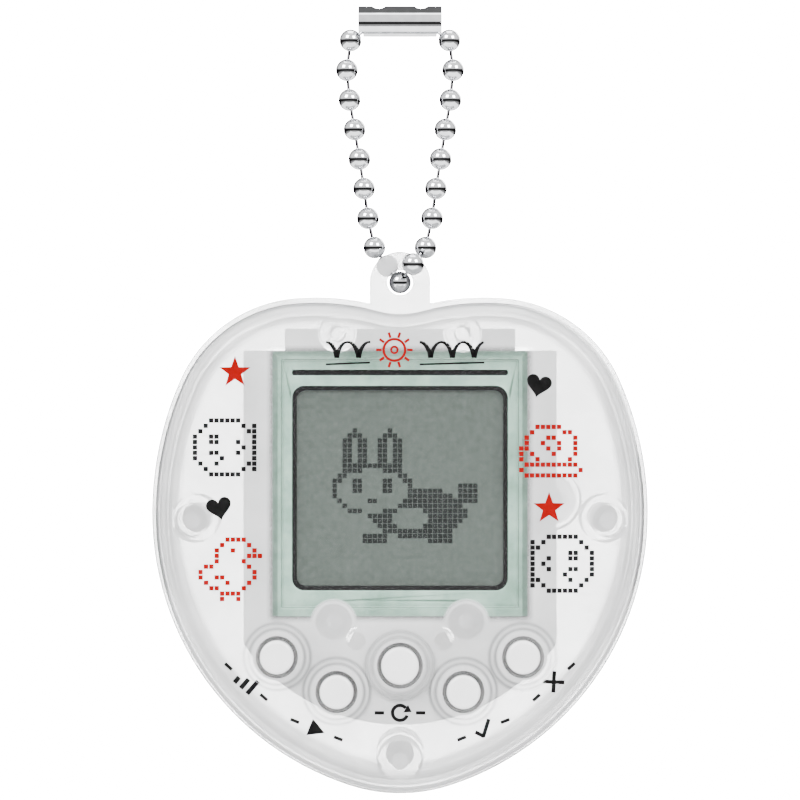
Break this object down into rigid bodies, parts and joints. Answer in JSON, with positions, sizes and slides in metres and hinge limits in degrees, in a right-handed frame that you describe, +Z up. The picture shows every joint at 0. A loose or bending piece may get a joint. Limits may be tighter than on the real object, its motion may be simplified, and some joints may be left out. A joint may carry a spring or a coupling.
{
  "type": "virtual pet keychain",
  "caption": "Clear heart-bottomed electronic pet case with a screen and push buttons, hung from a ball chain loop; opens for button cells.",
  "frame": {"origin": "middle of the underside of the chain connector, where a ring or hook carries the chain", "axes": "+Z up along the hanging chain, +Y out of the back cover, so the screen faces -Y; +X to the right seen from the front"},
  "size_m": [0.0538, 0.0176, 0.0855],
  "materials": {
    "clear_case": "clear, lightly frosted polystyrene",
    "clear_door": "clear polystyrene",
    "green_clear": "clear, faint green",
    "white_cap": "gloss",
    "silicone": "satin",
    "black_gasket": "matt",
    "polariser": "film",
    "lcd_glass": "polished",
    "reflector": "satin film",
    "zebra": "striped",
    "foam": "open cell",
    "board": "solder mask",
    "epoxy": "gloss",
    "chips": "matt",
    "cell_steel": "brushed",
    "contact_metal": "plated",
    "brass": "satin",
    "ceramic": "silvered",
    "red_wire": "satin",
    "black_wire": "satin",
    "pair_wire": "satin",
    "screw_steel": "plated",
    "chain_chrome": "polished"
  },
  "bodies": {
    "clasp": {"chain_connector": "chain_chrome", "end_beads": "chain_chrome"},
    "chain_row_1": {"chain_left_1": "chain_chrome", "chain_right_1": "chain_chrome"},
    "chain_row_2": {"chain_left_2": "chain_chrome", "chain_right_2": "chain_chrome"},
    "chain_row_3": {"chain_left_3": "chain_chrome", "chain_right_3": "chain_chrome"},
    "chain_row_4": {"chain_left_4": "chain_chrome", "chain_right_4": "chain_chrome"},
    "chain_row_5": {"chain_left_5": "chain_chrome", "chain_right_5": "chain_chrome"},
    "chain_row_6": {"chain_left_6": "chain_chrome", "chain_right_6": "chain_chrome"},
    "chain_row_7": {"chain_left_7": "chain_chrome", "chain_right_7": "chain_chrome"},
    "chain_row_8": {"chain_left_8": "chain_chrome", "chain_right_8": "chain_chrome"},
    "chain_turn": {"turn_beads": "chain_chrome", "turn_links": "chain_chrome"},
    "case": {"front_case": "clear_case", "rear_case": "clear_case", "lcd_holder": "green_clear", "lcd_gasket": "black_gasket", "front_polariser": "polariser", "lcd_front_glass": "lcd_glass", "lcd_rear_glass": "lcd_glass", "lcd_reflector": "reflector", "zebra_strip": "zebra", "foam_pad": "foam", "circuit_board": "board", "chip_blob": "epoxy", "small_parts": "chips", "button_cell_left": "cell_steel", "button_cell_right": "cell_steel", "contact_minus": "contact_metal", "contact_plus": "contact_metal", "sounder_disc": "brass", "sounder_ceramic": "ceramic", "wire_minus": "black_wire", "wire_plus": "red_wire", "sounder_wires": "pair_wire", "case_screws": "screw_steel", "board_screws": "screw_steel", "dome_left_outer": "silicone", "dome_left_inner": "silicone", "dome_middle": "silicone", "dome_right_inner": "silicone", "dome_right_outer": "silicone"},
    "button_left_outer": {"button_left_outer": "white_cap"},
    "button_left_inner": {"button_left_inner": "white_cap"},
    "button_middle": {"button_middle": "white_cap"},
    "button_right_inner": {"button_right_inner": "white_cap"},
    "button_right_outer": {"button_right_outer": "white_cap"},
    "battery_door": {"battery_door": "clear_door", "battery_bridge": "contact_metal"},
    "door_screw": {"door_screw": "screw_steel"}
  },
  "joints": [
    {"name": "chain_row_1_bend", "type": "hinge", "parent": "clasp", "child": "chain_row_1", "pos_m": [0, 0, 0.00021], "axis": [1, 0, 0], "range_deg": [-18, 18]},
    {"name": "chain_row_2_bend", "type": "hinge", "parent": "chain_row_1", "child": "chain_row_2", "pos_m": [0, 0, -0.00256], "axis": [1, 0, 0], "range_deg": [-18, 18]},
    {"name": "chain_row_3_bend", "type": "hinge", "parent": "chain_row_2", "child": "chain_row_3", "pos_m": [0, 0, -0.00581], "axis": [1, 0, 0], "range_deg": [-18, 18]},
    {"name": "chain_row_4_bend", "type": "hinge", "parent": "chain_row_3", "child": "chain_row_4", "pos_m": [0, 0, -0.00903], "axis": [1, 0, 0], "range_deg": [-18, 18]},
    {"name": "chain_row_5_bend", "type": "hinge", "parent": "chain_row_4", "child": "chain_row_5", "pos_m": [0, 0, -0.01225], "axis": [1, 0, 0], "range_deg": [-18, 18]},
    {"name": "chain_row_6_bend", "type": "hinge", "parent": "chain_row_5", "child": "chain_row_6", "pos_m": [0, 0, -0.01547], "axis": [1, 0, 0], "range_deg": [-18, 18]},
    {"name": "chain_row_7_bend", "type": "hinge", "parent": "chain_row_6", "child": "chain_row_7", "pos_m": [0, 0, -0.0187], "axis": [1, 0, 0], "range_deg": [-18, 18]},
    {"name": "chain_row_8_bend", "type": "hinge", "parent": "chain_row_7", "child": "chain_row_8", "pos_m": [0, 0, -0.02189], "axis": [1, 0, 0], "range_deg": [-18, 18]},
    {"name": "chain_turn_tilt", "type": "hinge", "parent": "chain_row_8", "child": "chain_turn", "pos_m": [0, 0, -0.02295], "axis": [1, 0, 0], "range_deg": [-6, 6]},
    {"name": "case_swing", "type": "hinge", "parent": "chain_turn", "child": "case", "pos_m": [0, 0, -0.02675], "axis": [0, 1, 0], "range_deg": [-35, 35]},
    {"name": "button_left_outer_press", "type": "slide", "parent": "case", "child": "button_left_outer", "axis": [0, 1, 0], "range_m": [0, 0.0007], "stiffness_N_per_m": 1000, "deforming": ["dome_left_outer"]},
    {"name": "button_left_inner_press", "type": "slide", "parent": "case", "child": "button_left_inner", "axis": [0, 1, 0], "range_m": [0, 0.0007], "stiffness_N_per_m": 1000, "deforming": ["dome_left_inner"]},
    {"name": "button_middle_press", "type": "slide", "parent": "case", "child": "button_middle", "axis": [0, 1, 0], "range_m": [0, 0.0007], "stiffness_N_per_m": 1000, "deforming": ["dome_middle"]},
    {"name": "button_right_inner_press", "type": "slide", "parent": "case", "child": "button_right_inner", "axis": [0, 1, 0], "range_m": [0, 0.0007], "stiffness_N_per_m": 1000, "deforming": ["dome_right_inner"]},
    {"name": "button_right_outer_press", "type": "slide", "parent": "case", "child": "button_right_outer", "axis": [0, 1, 0], "range_m": [0, 0.0007], "stiffness_N_per_m": 1000, "deforming": ["dome_right_outer"]},
    {"name": "battery_door_lift", "type": "slide", "parent": "case", "child": "battery_door", "axis": [0, 1, 0], "range_m": [0, 0.012]},
    {"name": "door_screw_turn", "type": "hinge", "parent": "battery_door", "child": "door_screw", "pos_m": [0.0166, 0, -0.0505], "axis": [0, 1, 0], "continuous": true}
  ]
}
